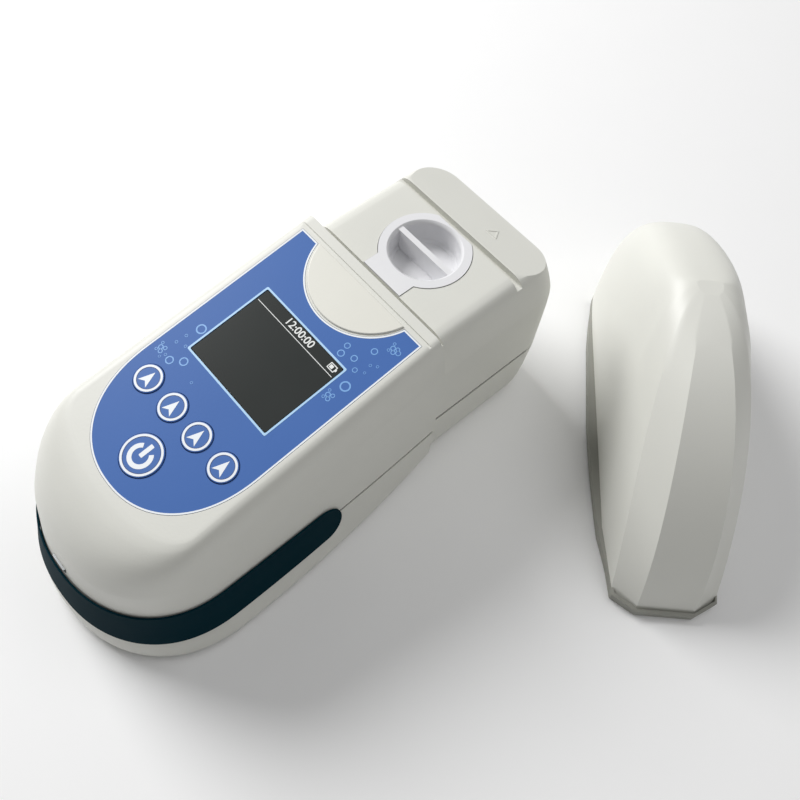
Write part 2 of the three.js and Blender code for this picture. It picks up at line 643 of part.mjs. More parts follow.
add('well_plug', wellPlug(), COLOURS.insert, 0.35);
add('optical_block', opticalBlock(), COLOURS.black, 0.7);
add('led_source', ledSource(), COLOURS.amber, 0.2);
add('filter_disc', filterDisc(), COLOURS.glass, 0.1);
add('photodiode', photodiode(), COLOURS.metal, 0.3, 0.8);
add('source_board', sourceBoard(), COLOURS.board, 0.6);
add('detector_board', detectorBoard(), COLOURS.board, 0.6);
add('main_board', mainBoard(), COLOURS.board, 0.6);
add('controller_chip', controller(), COLOURS.black, 0.5);
add('buzzer', buzzer(), COLOURS.black, 0.5);
add('charge_port', chargePort(), COLOURS.metal, 0.3, 0.9);

CELL_OFFSETS.forEach((_, i) => add(`battery_cell_${i + 1}`, cell(i), COLOURS.cell, 0.35, 0.3));
add('contact_strip_front', contactStrip(CELL.y - 27), COLOURS.metal, 0.3, 0.9);
add('contact_strip_rear', contactStrip(CELL.y + 27), COLOURS.metal, 0.3, 0.9);
add('cell_tray', cellTray(), COLOURS.black, 0.6);
add('battery_cover', batteryCover(), COLOURS.housing, 0.45);
for (const place of FEET) add(place.name, foot(place), COLOURS.rubber, 0.9);
SCREWS.forEach((place, i) => add(`housing_screw_${i + 1}`, housingScrew(place), COLOURS.metal, 0.35, 0.9));

const shield = new THREE.Group();
add('light_shield', lightShield(), COLOURS.housing, 0.45, 0, shield);
shield.rotation.z = THREE.MathUtils.degToRad(SHIELD.turn);
shield.position.set(SHIELD.x, SHIELD.y, 0);

// The set stands on the table with the middle of its footprint at the origin.
const set = new THREE.Group();
set.add(tester, shield);
set.updateMatrixWorld(true);
const middle = new THREE.Box3().setFromObject(set, true).getCenter(new THREE.Vector3());
set.position.set(-middle.x, -middle.y, 0);

export default set;
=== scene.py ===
"""Digital water tester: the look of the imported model, in metres round the CAD frame.

Shapes are worked out in millimetres in the tester's own frame: y = 0 runs through the
row of four soft keys, z = 0 is the table, and the user sits at -y.
"""

from math import asin, cos, pi, radians, sin, tan

import bpy
import numpy as np
from mathutils import Matrix, Vector


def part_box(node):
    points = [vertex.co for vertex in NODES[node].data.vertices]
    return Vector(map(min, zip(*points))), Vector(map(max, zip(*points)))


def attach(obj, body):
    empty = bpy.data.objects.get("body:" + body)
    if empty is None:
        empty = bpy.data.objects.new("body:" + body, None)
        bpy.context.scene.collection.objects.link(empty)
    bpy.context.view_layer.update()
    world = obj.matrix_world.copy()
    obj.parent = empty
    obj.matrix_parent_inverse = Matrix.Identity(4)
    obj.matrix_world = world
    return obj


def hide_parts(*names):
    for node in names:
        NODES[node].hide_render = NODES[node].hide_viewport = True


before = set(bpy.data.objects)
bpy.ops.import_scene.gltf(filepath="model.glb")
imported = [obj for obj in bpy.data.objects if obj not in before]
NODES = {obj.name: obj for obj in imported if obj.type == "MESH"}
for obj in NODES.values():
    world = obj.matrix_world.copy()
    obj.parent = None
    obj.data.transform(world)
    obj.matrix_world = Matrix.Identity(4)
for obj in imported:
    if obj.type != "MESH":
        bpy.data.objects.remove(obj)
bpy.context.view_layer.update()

MM = 0.001

# ------------------------------------------------------------------ driving dimensions
GAP = 0.3
WALL = 2.2
ROW_HEIGHT = 72
PANEL_TILT = radians(9.25)
STEP_Y = 83.5
NOSE_Y = -20
NOSE_POWER = 2.2
REAR_Y = 150
DECK = 80
REAR_CORNER = 14
FRONT_SEAM = 24
REAR_SEAM = 32
SEAM_GAP = 1.8
FOOT_Y = -22

# (height, half width at the nose, half width at the step, y of the tip)
FRONT_BOTTOM = [
    (1.2, 48.5, 39.6, -64.6), (2.6, 50.3, 41, -66.6), (6, 50.7, 41.4, -67),
    (15, 47.4, 41.4, -64.6), (FRONT_SEAM, 45, 41.4, -62.2),
]
FRONT_WALL = [(FRONT_SEAM, 45, 41.4, -62.2), (33, 43.4, 41.4, -59.8)]
# the same, with the drop below the sloping panel in place of the height
FRONT_DOME = [
    (17, 42.4, 41.2, -57), (9, 41, 39.9, -52.6), (4, 39.4, 38.3, -47.4),
    (1.1, 37.3, 36.7, -41.2), (0.15, 35.4, 35.2, -36.2), (0, 34, 34, -32.8),
]
# (height, half width, y of the rear end)
REAR_BOTTOM = [(1.2, 36.4, 144), (3, 38.4, 146.6), (8, 39.4, 148.6), (REAR_SEAM, 40.6, REAR_Y)]
REAR_TOP = [
    (REAR_SEAM, 40.6, REAR_Y), (64, 40.2, 149.9), (67, 39.6, 149.7), (76.4, 35.2, 148.2),
    (79, 32.6, 146.4), (79.9, 29.8, 143.8), (DECK, 28, 142),
]
GROOVE = {"front": STEP_Y + GAP, "front_end": 87.4, "rear": 125.4, "rear_end": 128.2, "depth": 3}
TAIL = {"start": 129.2, "angle": radians(17)}

KEY = {"pitch": 14.7, "radius": 5.6, "hole": 5.85, "proud": 0.5}
POWER = {"y": -17.9, "radius": 8.0, "hole": 8.25}
SCREEN = {"half": 21.9, "low": 17.8, "high": 52.8}
OVERLAY = {"half": 33.4, "rear": 78.4, "tip": -32.2, "nose_y": 6.8, "depth": 0.7}
BADGE = {"y": 85, "radius": 25.3}
WELL_Y = 109.6
PLUG = {"flange": 18, "ear": 10, "cup": 15.6, "inner": 13.4, "depth": 12, "bar": 2.4, "seat": 2, "proud": 0.3}
BAND = {"low": 15, "high": 32.6, "inner": 0.3, "outer": 1.2, "end": 32}
COVER = {"half": 31, "front": 86.5, "bottom": 1.6, "top": 3.4, "wall": 17.5}
THUMB_GROOVES = {"count": 5, "half": 9, "start": 128, "pitch": 2.4, "width": 1, "depth": 0.5}
CABLE_WAY = {"half": 30, "top": 62}
PORT = {"half": 4, "low": 34.4, "high": 37.6}
STEP_LINE = {"half": 36.6, "front": STEP_Y - 3.6, "rear": STEP_Y - 2.7, "foot": -0.45}  # groove before the step
TRIANGLE = {"x": 9, "y": 138, "size": 3.4, "inner": 0.72}
CLOCK = {"y": 50.3, "size": 4.3, "extrude": 0.03}
GLASS = -0.1  # top of the display window, measured from the panel's surface
SHIELD = {
    "near": 83.1, "far": 77.8, "width": 48, "height": 81.7, "lean": 22.6, "wall": 2.4, "turn": radians(-45),
}
SHIELD_PLACE = (95.5, 167.4)
SKIRT = {"swell": 3.6, "low": 0.02, "outer_top": 4.4, "inner_top": 5.2}

front_feet = [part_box(name) for name in ("foot_front_left", "foot_front_right")]
feet_middle = sum((low + high for low, high in front_feet), Vector()) / 4
ORIGIN = Vector((feet_middle.x, feet_middle.y - FOOT_Y * MM, front_feet[0][0].z))


# ------------------------------------------------------------------ materials
def srgb(*levels):
    """Linear colour from 0-255 display levels."""
    scaled = [level / 255 for level in levels]
    return (*[c / 12.92 if c <= 0.04045 else ((c + 0.055) / 1.055) ** 2.4 for c in scaled], 1)


CLOUD_SCALE = 35
GRAIN_SCALE = 900
GRAIN_HEIGHT = 0.0001
ROUGHNESS_SPREAD = 0.04


def material(name, colour, roughness, metallic=0.0, mottle=0.03, bump=0.0, specular=0.5):
    """Principled surface whose colour and roughness wander a little, with an optional fine texture."""
    made = bpy.data.materials.new(name)
    made.use_nodes = True
    tree = made.node_tree
    shader = tree.nodes["Principled BSDF"]
    shader.inputs["Metallic"].default_value = metallic
    shader.inputs["Specular IOR Level"].default_value = specular
    place = tree.nodes.new("ShaderNodeTexCoord")
    cloud = tree.nodes.new("ShaderNodeTexNoise")
    cloud.inputs["Scale"].default_value = CLOUD_SCALE
    cloud.inputs["Detail"].default_value = 4
    tree.links.new(place.outputs["Object"], cloud.inputs["Vector"])
    tint = tree.nodes.new("ShaderNodeMix")
    tint.data_type = "RGBA"
    tint.inputs["A"].default_value = [c * (1 - mottle) for c in colour[:3]] + [1]
    tint.inputs["B"].default_value = [min(1, c * (1 + mottle)) for c in colour[:3]] + [1]
    tree.links.new(cloud.outputs["Fac"], tint.inputs["Factor"])
    tree.links.new(tint.outputs["Result"], shader.inputs["Base Color"])
    span = tree.nodes.new("ShaderNodeMapRange")
    span.inputs["To Min"].default_value = roughness - ROUGHNESS_SPREAD
    span.inputs["To Max"].default_value = roughness + ROUGHNESS_SPREAD
    tree.links.new(cloud.outputs["Fac"], span.inputs["Value"])
    tree.links.new(span.outputs["Result"], shader.inputs["Roughness"])
    if bump:
        fine = tree.nodes.new("ShaderNodeTexNoise")
        fine.inputs["Scale"].default_value = GRAIN_SCALE
        relief = tree.nodes.new("ShaderNodeBump")
        relief.inputs["Strength"].default_value = bump
        relief.inputs["Distance"].default_value = GRAIN_HEIGHT
        tree.links.new(place.outputs["Object"], fine.inputs["Vector"])
        tree.links.new(fine.outputs["Fac"], relief.inputs["Height"])
        tree.links.new(relief.outputs["Normal"], shader.inputs["Normal"])
    return made


HOUSING = material("housing", srgb(221, 221, 214), 0.42, bump=0.25)
SHIELD_PLASTIC = material("shield_plastic", srgb(224, 224, 217), 0.42, bump=0.2)
# The skirt's darker grey is painted shade: the hood's plastic, darkened to stand in for the shadow along its
# foot.
SKIRT_PAINTED_SHADE = material("shield_skirt_painted_shade", srgb(150, 150, 142), 0.6, bump=0.2)
PAD = material("badge_pad", srgb(226, 225, 216), 0.38, bump=0.15)
INSERT = material("insert", srgb(232, 232, 234), 0.35, mottle=0.01, bump=0.05)
BLUE = material("overlay_blue", srgb(70, 109, 176), 0.42, mottle=0.04, bump=0.1, specular=0.2)
KEY_BLUE = material("key_blue", srgb(72, 111, 178), 0.4, mottle=0.04, bump=0.05, specular=0.25)
WHITE = material("print_white", srgb(240, 244, 248), 0.4, mottle=0.01)
PALE = material("print_pale_blue", srgb(122, 172, 228), 0.4, mottle=0.03)
SKY = material("print_sky", srgb(176, 214, 246), 0.4, mottle=0.02)
NAVY = material("print_navy", srgb(38, 62, 116), 0.4, mottle=0.03)
BAND_TEAL = material("band_teal", srgb(2, 38, 48), 0.55, mottle=0.08, bump=0.1, specular=0.02)
SEAL = material("seal_black", srgb(18, 19, 20), 0.8, mottle=0.1)
WINDOW = material("window", srgb(50, 53, 52), 0.3, mottle=0.05, specular=0.12)
READOUT = material("readout", srgb(236, 238, 236), 0.5, mottle=0.02)
DARK = material("dark_plastic", srgb(28, 29, 31), 0.55, mottle=0.1, bump=0.2)
BOARD = material("circuit_board", srgb(28, 92, 58), 0.45, mottle=0.12, bump=0.3)
METAL = material("plated_metal", srgb(150, 152, 152), 0.35, metallic=1.0, mottle=0.05)
AMBER = material("amber", srgb(206, 160, 84), 0.35, mottle=0.08)
SLEEVE = material("cell_sleeve", srgb(44, 60, 84), 0.35, metallic=0.3, mottle=0.08)
FILTER = material("filter", srgb(88, 140, 108), 0.12, mottle=0.05)
SOFT_PAD = material("foot_pad", srgb(48, 49, 51), 0.85, mottle=0.1, bump=0.4)


# ------------------------------------------------------------------ meshes
def make(name, vertices, faces):
    """Object from vertices in the tester's millimetres."""
    mesh = bpy.data.meshes.new(name)
    mesh.from_pydata([ORIGIN + Vector(v) * MM for v in vertices], [], faces)
    mesh.validate()
    made = bpy.data.objects.new(name, mesh)
    bpy.context.scene.collection.objects.link(made)
    return made


def stack(rings, offset=0, inward=False):
    """Side faces of a stack of equal rings."""
    count = len(rings[0])
    faces = []
    for level in range(len(rings) - 1):
        for i in range(count):
            a = offset + level * count + i
            b = offset + level * count + (i + 1) % count
            face = (a, b, b + count, a + count)
            faces.append(face[::-1] if inward else face)
    return faces


def loft(name, rings):
    """Closed body through a stack of rings, listed upwards, each anticlockwise from above."""
    count = len(rings[0])
    faces = stack(rings)
    faces.append(tuple(range(count))[::-1])
    faces.append(tuple(range((len(rings) - 1) * count, len(rings) * count)))
    return make(name, [p for ring in rings for p in ring], faces)


def hood(name, outer, inner):
    """Shell open below, between two stacks of rings with the same number of points."""
    count = len(outer[0])
    start = len(outer) * count
    faces = stack(outer) + stack(inner, start, inward=True)
    faces.append(tuple(range(start - count, start)))
    end = start + len(inner) * count
    faces.append(tuple(range(end - count, end))[::-1])
    for i in range(count):
        j = (i + 1) % count
        faces.append((j, i, start + i, start + j))
    return make(name, [p for ring in [*outer, *inner] for p in ring], faces)


def tube(name, loops):
    """Closed ring of material through loops that run round its section."""
    count, last = len(loops[0]), (len(loops) - 1) * len(loops[0])
    faces = stack(loops)
    for i in range(count):
        j = (i + 1) % count
        faces.append((last + i, last + j, j, i))
    return make(name, [p for loop in loops for p in loop], faces)


def prism(name, loop, low, high, place=lambda x, y, z: (x, y, z)):
    """Straight body over an outline, standing on the table's plane or on the one that place gives."""
    bottom = [place(x, y, low) for x, y in loop]
    top = [place(x, y, high) for x, y in loop]
    return loft(name, [bottom, top])


def block(name, low, high):
    """Box between two corners."""
    loop = [(low[0], low[1]), (high[0], low[1]), (high[0], high[1]), (low[0], high[1])]
    return prism(name, loop, low[2], high[2])


def circle(radius, x=0.0, y=0.0, count=96):
    angles = [2 * pi * i / count for i in range(count)]
    return [(x + radius * cos(angle), y + radius * sin(angle)) for angle in angles]


def settle(obj):
    """Applies the modifiers."""
    shown = obj.evaluated_get(bpy.context.evaluated_depsgraph_get())
    mesh = bpy.data.meshes.new_from_object(shown)
    obj.modifiers.clear()
    obj.data = mesh
    return obj


def combine(obj, tools, operation="DIFFERENCE"):
    """Cuts or joins the tools one after the other, and removes them."""
    for tool in tools:
        change = obj.modifiers.new("combine", "BOOLEAN")
        change.operation = operation
        change.solver = "EXACT"
        change.object = tool
        settle(obj)
        bpy.data.objects.remove(tool)
    return obj


def soften(obj, width, angle=35, segments=2):
    """Rounds the edges sharper than the angle by a width in millimetres."""
    edge = obj.modifiers.new("edges", "BEVEL")
    edge.width = width * MM
    edge.segments = segments
    edge.limit_method = "ANGLE"
    edge.angle_limit = radians(angle)
    edge.use_clamp_overlap = True
    return settle(obj)


def finish_piece(obj, surface, body, replaced=(), smooth=35):
    """Gives a piece its surface, shading and body, and hides the solids it stands in for."""
    obj.data.materials.clear()
    obj.data.materials.append(surface)
    obj.data.shade_smooth()
    obj.data.set_sharp_from_angle(angle=radians(smooth))
    normals = obj.modifiers.new("normals", "WEIGHTED_NORMAL")
    normals.keep_sharp = True
    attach(obj, body)
    if replaced:
        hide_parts(*replaced)
    return obj


# ------------------------------------------------------------------ outlines of the housing
def panel_height(y):
    """Height of the sloping panel above the table."""
    return ROW_HEIGHT + y * tan(PANEL_TILT)


def on_panel(x, y, z):
    """Place of a point given on the sloping panel, with z above its surface."""
    c, s = cos(PANEL_TILT), sin(PANEL_TILT)
    return (x, y * c - z * s, ROW_HEIGHT + y * s + z * c)


def nose_arc(half, y, tip, steps):
    """Superellipse round the nose, from the left to the right."""
    points = []
    for i in range(steps + 1):
        angle = pi * i / steps
        c, s = cos(angle), max(0.0, sin(angle))
        x = -half * np.sign(c) * abs(c) ** (2 / NOSE_POWER)
        points.append((x, y - (y - tip) * s ** (2 / NOSE_POWER)))
    return points


def front_outline(nose, step, tip, grow, rear, side_steps=16, nose_steps=88):
    """Plan of the front section: sides that narrow a little to the step, and a rounded nose."""
    side = []
    for i in range(side_steps):
        y = rear + (NOSE_Y - rear) * i / side_steps
        s = (STEP_Y - y) / (STEP_Y - NOSE_Y)
        side.append((step + grow + (nose - step) * (1 - (1 - s) ** 2), y))
    left = [(-x, y) for x, y in side]
    return left + nose_arc(nose + grow, NOSE_Y, tip - grow, nose_steps) + side[::-1]


def wall_rings(levels, grow=0.0, rear=STEP_Y):
    """Level outlines of the front section."""
    return [[(x, y, z) for x, y in front_outline(*level, grow, rear)] for z, *level in levels]


def dome_rings(levels, grow=0.0, rear=STEP_Y):
    """Outlines of the front section that follow the slope of the panel."""
    return [[(x, y, panel_height(y) - drop) for x, y in front_outline(*level, grow, rear)]
            for drop, *level in levels]


def rear_rings(levels, grow=0.0, front=STEP_Y + GAP, side_steps=8, steps=18):
    """Level outlines of the rear section, with rounded rear corners."""
    rings = []
    for z, half, end in levels:
        straight = end - REAR_CORNER - front
        right = [(half + grow, front + straight * i / side_steps) for i in range(side_steps)]
        for i in range(steps + 1):
            angle = pi / 2 * i / steps
            x = half + grow - REAR_CORNER * (1 - cos(angle))
            right.append((x, end + grow - REAR_CORNER * (1 - sin(angle))))
        ring = right + [(-x, y) for x, y in reversed(right)]
        rings.append([(x, y, z) for x, y in ring])
    return rings


def refine(rings, steps=4):
    """Rounds a stack of rings with a centripetal spline from level to level."""
    rings = [np.array(ring, float) for ring in rings]
    ends = [2 * rings[0] - rings[1], *rings, 2 * rings[-1] - rings[-2]]
    knots = [0.0]
    for a, b in zip(ends, ends[1:]):
        knots.append(knots[-1] + np.linalg.norm(b - a, axis=1).mean() ** 0.5)
    fine = []
    for i in range(1, len(ends) - 2):
        p0, p1, p2, p3 = ends[i - 1:i + 3]
        t0, t1, t2, t3 = knots[i - 1:i + 3]
        for k in range(steps):
            t = t1 + (t2 - t1) * k / steps
            a1 = (t1 - t) / (t1 - t0) * p0 + (t - t0) / (t1 - t0) * p1
            a2 = (t2 - t) / (t2 - t1) * p1 + (t - t1) / (t2 - t1) * p2
            a3 = (t3 - t) / (t3 - t2) * p2 + (t - t2) / (t3 - t2) * p3
            b1 = (t2 - t) / (t2 - t0) * a1 + (t - t0) / (t2 - t0) * a2
            b2 = (t3 - t) / (t3 - t1) * a2 + (t - t1) / (t3 - t1) * a3
            fine.append((t2 - t) / (t2 - t1) * b1 + (t - t1) / (t2 - t1) * b2)
    fine.append(rings[-1])
    return [[tuple(p) for p in ring] for ring in fine]


# ------------------------------------------------------------------ outlines on the panel
def rectangle(x0, y0, x1, y1, r, steps=6):
    """Outline of a rectangle with rounded corners."""
    corners = [
        (x1 - r, y0 + r, -pi / 2), (x1 - r, y1 - r, 0), (x0 + r, y1 - r, pi / 2), (x0 + r, y0 + r, pi),
    ]
    return [(x + r * cos(start + pi / 2 * i / steps), y + r * sin(start + pi / 2 * i / steps))
            for x, y, start in corners for i in range(steps + 1)]


def screen_outline(grow=0.0):
    """Outline of the display window."""
    half = SCREEN["half"] + grow
    return rectangle(-half, SCREEN["low"] - grow, half, SCREEN["high"] + grow, 0.6)


def overlay_outline(grow=0.0):
    """Straight sides, rounded nose, and a bay round the badge."""
    half = OVERLAY["half"] + grow
    rear = OVERLAY["rear"] + grow
    loop = [(-half, rear)] + nose_arc(half, OVERLAY["nose_y"], OVERLAY["tip"] - grow, 72) + [(half, rear)]
    bay = BADGE["radius"] - grow
    reach = asin((rear - BADGE["y"]) / bay)
    steps = 48
    for i in range(steps + 1):
        angle = reach - (pi + 2 * reach) * i / steps
        loop.append((bay * cos(angle), BADGE["y"] + bay * sin(angle)))
    return loop


SOFT_KEYS = [(f"soft_key_{i + 1}", f"key_{i + 1}", (i - 1.5) * KEY["pitch"]) for i in range(4)]
ROUND_KEYS = [(x, 0.0, KEY) for _, _, x in SOFT_KEYS] + [(0.0, POWER["y"], POWER)]


class Print:
    """Thin printed shapes on the panel, gathered into one piece."""

    def __init__(self, low, high):
        self.low = low
        self.high = high
        self.vertices = []
        self.faces = []

    def filled(self, loop):
        """Plate over an anticlockwise outline."""
        start, count = len(self.vertices), len(loop)
        for z in (self.low, self.high):
            self.vertices += [on_panel(x, y, z) for x, y in loop]
        self.faces += stack([loop, loop], start)
        self.faces.append(tuple(range(start, start + count))[::-1])
        self.faces.append(tuple(range(start + count, start + 2 * count)))

    def ring(self, outer, inner):
        """Strip between two anticlockwise outlines with the same number of points."""
        start, count = len(self.vertices), len(outer)
        for loop, z in ((outer, self.low), (outer, self.high), (inner, self.high), (inner, self.low)):
            self.vertices += [on_panel(x, y, z) for x, y in loop]
        self.faces += stack([outer] * 4, start)
        for i in range(count):
            j = (i + 1) % count
            self.faces.append((start + 3 * count + i, start + 3 * count + j, start + j, start + i))

    def disc_ring(self, x, y, outer, inner, count):
        """Round ring between two radii."""
        self.ring(circle(outer, x, y, count), circle(inner, x, y, count))

    def piece(self, name, surface, body, slot):
        """Piece made of everything gathered so far."""
        return finish_piece(make(name, self.vertices, self.faces), surface, body)


# ------------------------------------------------------------------ shells
def front_top_shell():
    """Upper housing of the front section: a straight facet above the band, then the dome round the panel."""
    start = (FRONT_SEAM + SEAM_GAP / 2, *FRONT_WALL[0][1:])
    dome = dome_rings(FRONT_DOME)
    side = np.linspace(wall_rings([start])[0], wall_rings([FRONT_WALL[1]])[0], 4)
    facet = np.linspace(side[-1], dome[0], 9)[1:-1]
    shell = loft("front_top_shell_look", [*side, *facet, *refine(dome, 5)])
    inside_side = wall_rings([(FRONT_SEAM - 1, *FRONT_WALL[0][1:]), FRONT_WALL[1]], -WALL, STEP_Y - WALL)
    inside_dome = [(drop + WALL, *rest) for drop, *rest in FRONT_DOME]
    tools = [loft("inside", inside_side + dome_rings(inside_dome, -WALL, STEP_Y - WALL))]
    half = CABLE_WAY["half"]
    tools.append(block("cable_way", (-half, STEP_Y - 4, FRONT_SEAM), (half, STEP_Y + 1, CABLE_WAY["top"])))
    tools.append(prism("pocket", overlay_outline(GAP / 2)[::1], -OVERLAY["depth"] - GAP, 2, on_panel))
    tools += [prism("hole", circle(key["hole"], x, y), -6, 2, on_panel) for x, y, key in ROUND_KEYS]
    tools.append(prism("opening", screen_outline(), -6, 2, on_panel))
    half, front, rear = STEP_LINE["half"], STEP_LINE["front"], STEP_LINE["rear"]
    line = [(-half, front), (half, front), (half, rear), (-half, rear)]
    tools.append(prism("step_line", line, STEP_LINE["foot"], 1.5, on_panel))
    tools.append(block("port", (-PORT["half"], -70, PORT["low"]), (PORT["half"], -50, PORT["high"])))
    shell = combine(shell, tools)
    return finish_piece(soften(shell, 0.3), HOUSING, "tester", ["front_top_shell"])


def tail_wedge(drop=0.0):
    """Everything above the sloping tail."""
    slope = tan(TAIL["angle"])
    y0, y1 = TAIL["start"], TAIL["start"] + 40
    base = [(y0, DECK - drop), (y1, DECK - drop - 40 * slope), (y1, DECK + 20), (y0, DECK + 20)]
    left = [(-50, y, z) for y, z in base]
    right = [(50, y, z) for y, z in base]
    return loft("tail", [left, right])


def rear_top_cover():
    """Upper housing of the rear section, with the deck, its grooves and the sloping tail."""
    start = (REAR_SEAM + SEAM_GAP / 2, *REAR_TOP[0][1:])
    outer = refine(rear_rings([start, *REAR_TOP[1:]]), 4)
    shell = loft("rear_top_cover_look", outer)
    inside = [(REAR_SEAM - 1, *REAR_TOP[0][1:])] + [(z - 6.5, half, end) for z, half, end in REAR_TOP[1:]]
    combine(shell, [loft("inside", rear_rings(inside, -WALL, STEP_Y + GAP + WALL))])
    floor, way = DECK - GROOVE["depth"], CABLE_WAY["half"]
    tools = [
        block("cable_way", (-way, STEP_Y - 1, REAR_SEAM - 1), (way, STEP_Y + 4, CABLE_WAY["top"])),
        block("front_groove", (-45, GROOVE["front"] - 1, floor), (45, GROOVE["front_end"], DECK + 1)),
        block("rear_groove", (-45, GROOVE["rear"], floor), (45, GROOVE["rear_end"], DECK + 1)),
        tail_wedge(),
        plug_flange("flange_pocket", GAP * 0.8, DECK - PLUG["seat"] - 0.4, DECK + 1),
        prism("well", circle(PLUG["cup"] + 0.6, 0, WELL_Y), 55, DECK + 1),
    ]
    combine(shell, tools)
    return finish_piece(soften(shell, 0.35), HOUSING, "tester", ["rear_top_cover"])


def bottom_shell():
    """Lower housing of both sections, with the battery bay open below and behind."""
    front_levels = [*FRONT_BOTTOM[:-1], (FRONT_SEAM - SEAM_GAP / 2, *FRONT_BOTTOM[-1][1:])]
    rear_levels = [*REAR_BOTTOM[:-1], (REAR_SEAM - SEAM_GAP / 2, *REAR_BOTTOM[-1][1:])]
    shell = loft("bottom_shell_look", refine(wall_rings(front_levels), 4))
    rear = loft("rear", refine(rear_rings(rear_levels, 0, STEP_Y - 1), 3))
    combine(rear, [block("step", (-60, STEP_Y - 2, FRONT_SEAM - SEAM_GAP / 2), (60, STEP_Y + GAP, 40))])
    combine(shell, [rear], "UNION")

    def lift(levels):
        return [(z + (6 if i == len(levels) - 1 else 2.6), *rest) for i, (z, *rest) in enumerate(levels)]

    half = COVER["half"] + GAP
    tools = [
        loft("front_inside", wall_rings(lift(front_levels), -WALL, STEP_Y - 1)),
        loft("rear_inside", rear_rings(lift(rear_levels), -WALL, STEP_Y - 4)),
        block("bay", (-half, COVER["front"] - GAP, 0), (half, REAR_Y + 5, COVER["top"] + GAP)),
        block("mouth", (-half, 141, 0), (half, REAR_Y + 5, COVER["wall"] + GAP)),
    ]
    combine(shell, tools)
    return finish_piece(soften(shell, 0.25), HOUSING, "tester", ["bottom_shell"])


def battery_cover():
    """Sliding floor of the battery bay, with the rear wall's lower middle and thumb grooves."""
    half = COVER["half"]
    tail = loft("battery_cover_look", refine(rear_rings(REAR_BOTTOM), 3))
    combine(tail, [block("keep", (-half, 144.4, COVER["bottom"]), (half, 160, COVER["wall"]))], "INTERSECT")
    floor = block("floor", (-half, COVER["front"], COVER["bottom"]), (half, 146, COVER["top"]))
    combine(tail, [floor], "UNION")
    grips = []
    for i in range(THUMB_GROOVES["count"]):
        y, reach = THUMB_GROOVES["start"] + THUMB_GROOVES["pitch"] * i, THUMB_GROOVES["half"]
        top = COVER["bottom"] + THUMB_GROOVES["depth"]
        grips.append(block("grip", (-reach, y, 0.5), (reach, y + THUMB_GROOVES["width"], top)))
    combine(tail, grips)
    return finish_piece(soften(tail, 0.25), HOUSING, "cover", ["battery_cover"])


def grip_band():
    """Elastomer band that follows the flare of the housing round the nose, with rounded ends."""
    low_level, seam, upper = FRONT_BOTTOM[3], FRONT_BOTTOM[-1], FRONT_WALL[1]
    share = (BAND["high"] - FRONT_SEAM) / (upper[0] - FRONT_SEAM)
    top = [a + (b - a) * share for a, b in zip(seam, upper)]
    middle = [(a + b) / 2 for a, b in zip(low_level, seam)]
    rear = BAND["end"] + 6

    def rings(grow, reach):
        levels = [(BAND["low"] - reach, *low_level[1:]), (BAND["low"] + 0.1, *low_level[1:]), middle, seam,
                  (BAND["high"] + reach, *top[1:])]
        return wall_rings(levels, grow, rear)

    band = loft("grip_band_look", rings(BAND["outer"], 0))
    combine(band, [loft("inner", rings(BAND["inner"], 1))])
    radius = (BAND["high"] - BAND["low"]) / 2
    height = (BAND["high"] + BAND["low"]) / 2
    end = BAND["end"] - radius
    profile = [(-80, height - radius)]
    profile += [(end + radius * sin(pi * i / 24), height - radius * cos(pi * i / 24)) for i in range(25)]
    profile.append((-80, height + radius))
    left = [(-80, y, z) for y, z in profile]
    right = [(80, y, z) for y, z in profile]
    combine(band, [loft("keep", [left, right])], "INTERSECT")
    return finish_piece(soften(band, 0.45, 40, 3), BAND_TEAL, "tester", ["grip_band"])


def seam_cords():
    """Black sealing cords set just inside the seam."""
    reach, depth, half = -0.4, -1.9, SEAM_GAP / 2 - 0.05

    def levels(seam, sizes, half_height):
        return [(seam - half_height, *sizes), (seam + half_height, *sizes)]

    sizes = FRONT_WALL[0][1:]
    front = loft("seam_cord_front", wall_rings(levels(FRONT_SEAM, sizes, half), reach, STEP_Y - GAP))
    combine(front, [loft("core", wall_rings(levels(FRONT_SEAM, sizes, 2), depth, STEP_Y + 1))])
    finish_piece(front, SEAL, "tester", ["seam_gasket_front"])
    sizes = REAR_TOP[0][1:]
    rear = loft("seam_cord_rear", rear_rings(levels(REAR_SEAM, sizes, half), reach, STEP_Y + 2 * GAP))
    combine(rear, [loft("core", rear_rings(levels(REAR_SEAM, sizes, 2), depth, STEP_Y - 1))])
    finish_piece(rear, SEAL, "tester", ["seam_gasket_rear"])


# ------------------------------------------------------------------ panel
def overlay():
    """Blue membrane, with openings for the keys and the window."""
    body = prism("overlay_look", overlay_outline(), -OVERLAY["depth"], 0, on_panel)
    tools = [prism("hole", circle(key["hole"], x, y), -2, 1, on_panel) for x, y, key in ROUND_KEYS]
    tools.append(prism("screen", screen_outline(), -2, 1, on_panel))
    combine(body, tools)
    return finish_piece(body, BLUE, "tester", ["keypad_overlay"])


def badge_pad():
    """Raised half-round pad behind the screen, left plain."""
    radius, rear = BADGE["radius"] - 0.9, STEP_Y - 4.6
    reach = asin((BADGE["y"] - rear) / radius)
    steps = 64
    loop = []
    for i in range(steps + 1):
        angle = pi + reach + (pi - 2 * reach) * i / steps
        loop.append((radius * cos(angle), BADGE["y"] + radius * sin(angle)))
    pad = prism("badge_pad", loop, -0.2, 0.7, on_panel)
    return finish_piece(soften(pad, 0.75, 40, 4), PAD, "tester")


